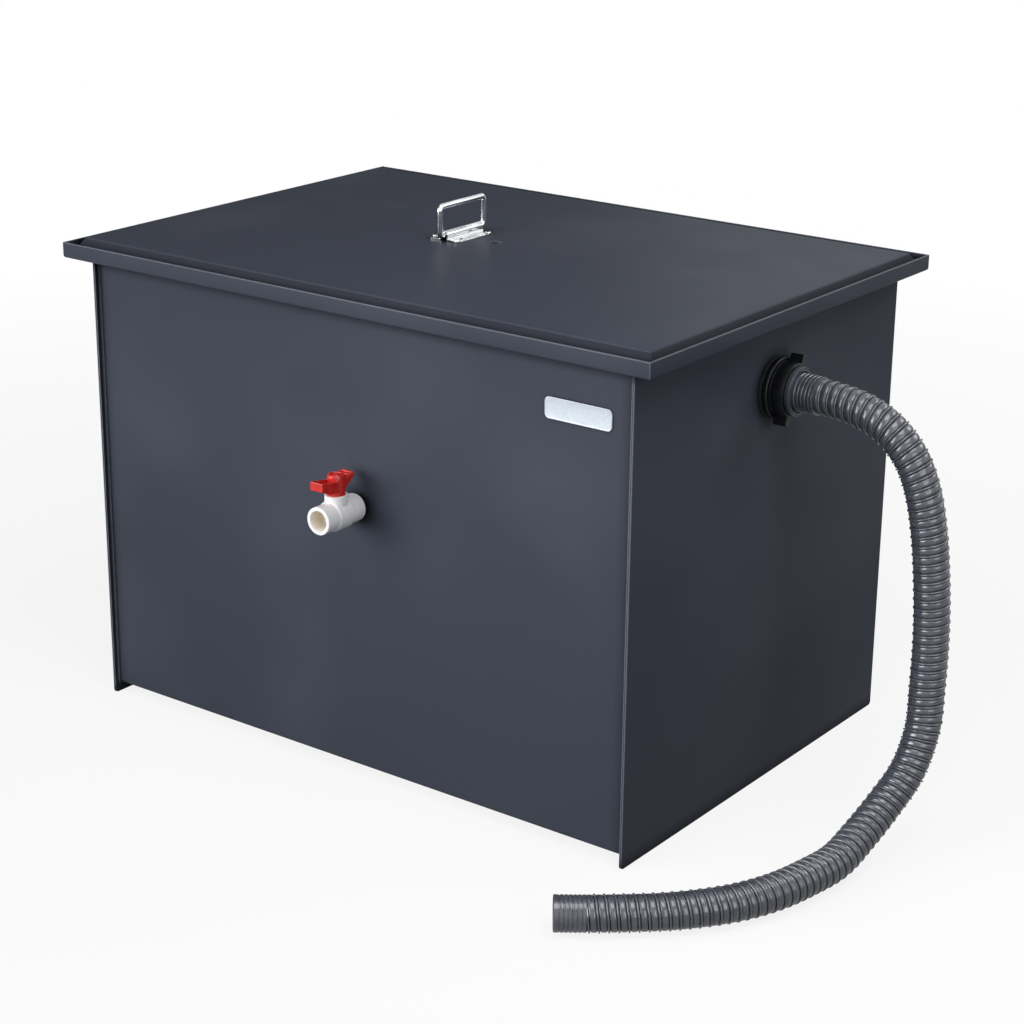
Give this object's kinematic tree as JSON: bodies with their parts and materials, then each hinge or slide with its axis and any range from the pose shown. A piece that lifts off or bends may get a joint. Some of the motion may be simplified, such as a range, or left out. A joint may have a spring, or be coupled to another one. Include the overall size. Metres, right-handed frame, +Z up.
{
  "type": "grease trap",
  "caption": "Floor-standing kitchen grease trap: painted steel tank with loose lid, folding lid handle, draw-off valve, strainer basket, baffles and a corrugated waste hose.",
  "frame": {"origin": "on the floor, under the middle of the trap's box without its hose", "axes": "+Z up, -Y out of the front where the valve is, +X towards the outlet and its hose"},
  "size_m": [0.9425, 0.6725, 0.5679],
  "materials": {
    "powder_coat": "satin slate powder coat",
    "polished_steel": "polished",
    "galvanised_steel": "dull zinc",
    "silver_plate": "satin silver",
    "white_plastic": "moulded, slightly glossy",
    "red_plastic": "moulded, glossy",
    "black_plastic": "moulded, satin",
    "grey_plastic": "moulded, satin",
    "hose_plastic": "ribbed, slightly glossy",
    "black_rubber": "matt",
    "seat_plastic": "matt"
  },
  "bodies": {
    "trap": {"tank_wrap": "powder_coat", "end_plate_left": "powder_coat", "end_plate_right": "powder_coat", "rim_front": "powder_coat", "rim_back": "powder_coat", "rim_left": "powder_coat", "rim_right": "powder_coat", "lid": "powder_coat", "lid_seal": "black_rubber", "handle_plate": "polished_steel", "handle_rivet_1": "polished_steel", "handle_rivet_2": "polished_steel", "handle_rivet_3": "polished_steel", "handle_rivet_4": "polished_steel", "bare_plate": "silver_plate", "valve_nipple": "galvanised_steel", "nipple_nut": "galvanised_steel", "valve_washer": "black_rubber", "valve_body": "white_plastic", "valve_seat_outer": "seat_plastic", "valve_seat_inner": "seat_plastic", "inlet_bulkhead": "black_plastic", "inlet_outer_gasket": "black_rubber", "inlet_inner_gasket": "black_rubber", "inlet_lock_nut": "black_plastic", "inlet_lug_nut": "black_plastic", "inlet_coupling_ring": "grey_plastic", "outlet_bulkhead": "black_plastic", "outlet_outer_gasket": "black_rubber", "outlet_inner_gasket": "black_rubber", "outlet_lock_nut": "black_plastic", "outlet_lug_nut": "black_plastic", "outlet_coupling_ring": "grey_plastic", "outlet_dip_pipe": "grey_plastic", "waste_hose": "hose_plastic", "baffle_inlet": "powder_coat", "baffle_outlet": "powder_coat", "basket_bracket_front": "powder_coat", "basket_bracket_back": "powder_coat", "strainer_basket": "galvanised_steel", "basket_loop_front": "galvanised_steel", "basket_loop_back": "galvanised_steel"},
    "bail": {"handle_bail": "polished_steel"},
    "valve_core": {"valve_handle": "red_plastic", "valve_stem": "seat_plastic", "valve_ball": "polished_steel"}
  },
  "joints": [
    {"name": "bail_fold", "type": "hinge", "parent": "trap", "child": "bail", "pos_m": [-0.0545, 0.032, 0.5326], "axis": [0, 1, 0], "range_deg": [-94, 94]},
    {"name": "valve_turn", "type": "hinge", "parent": "trap", "child": "valve_core", "pos_m": [0.013, -0.25875, 0.3027], "axis": [0, 0, 1], "range_deg": [-90, 0]}
  ]
}
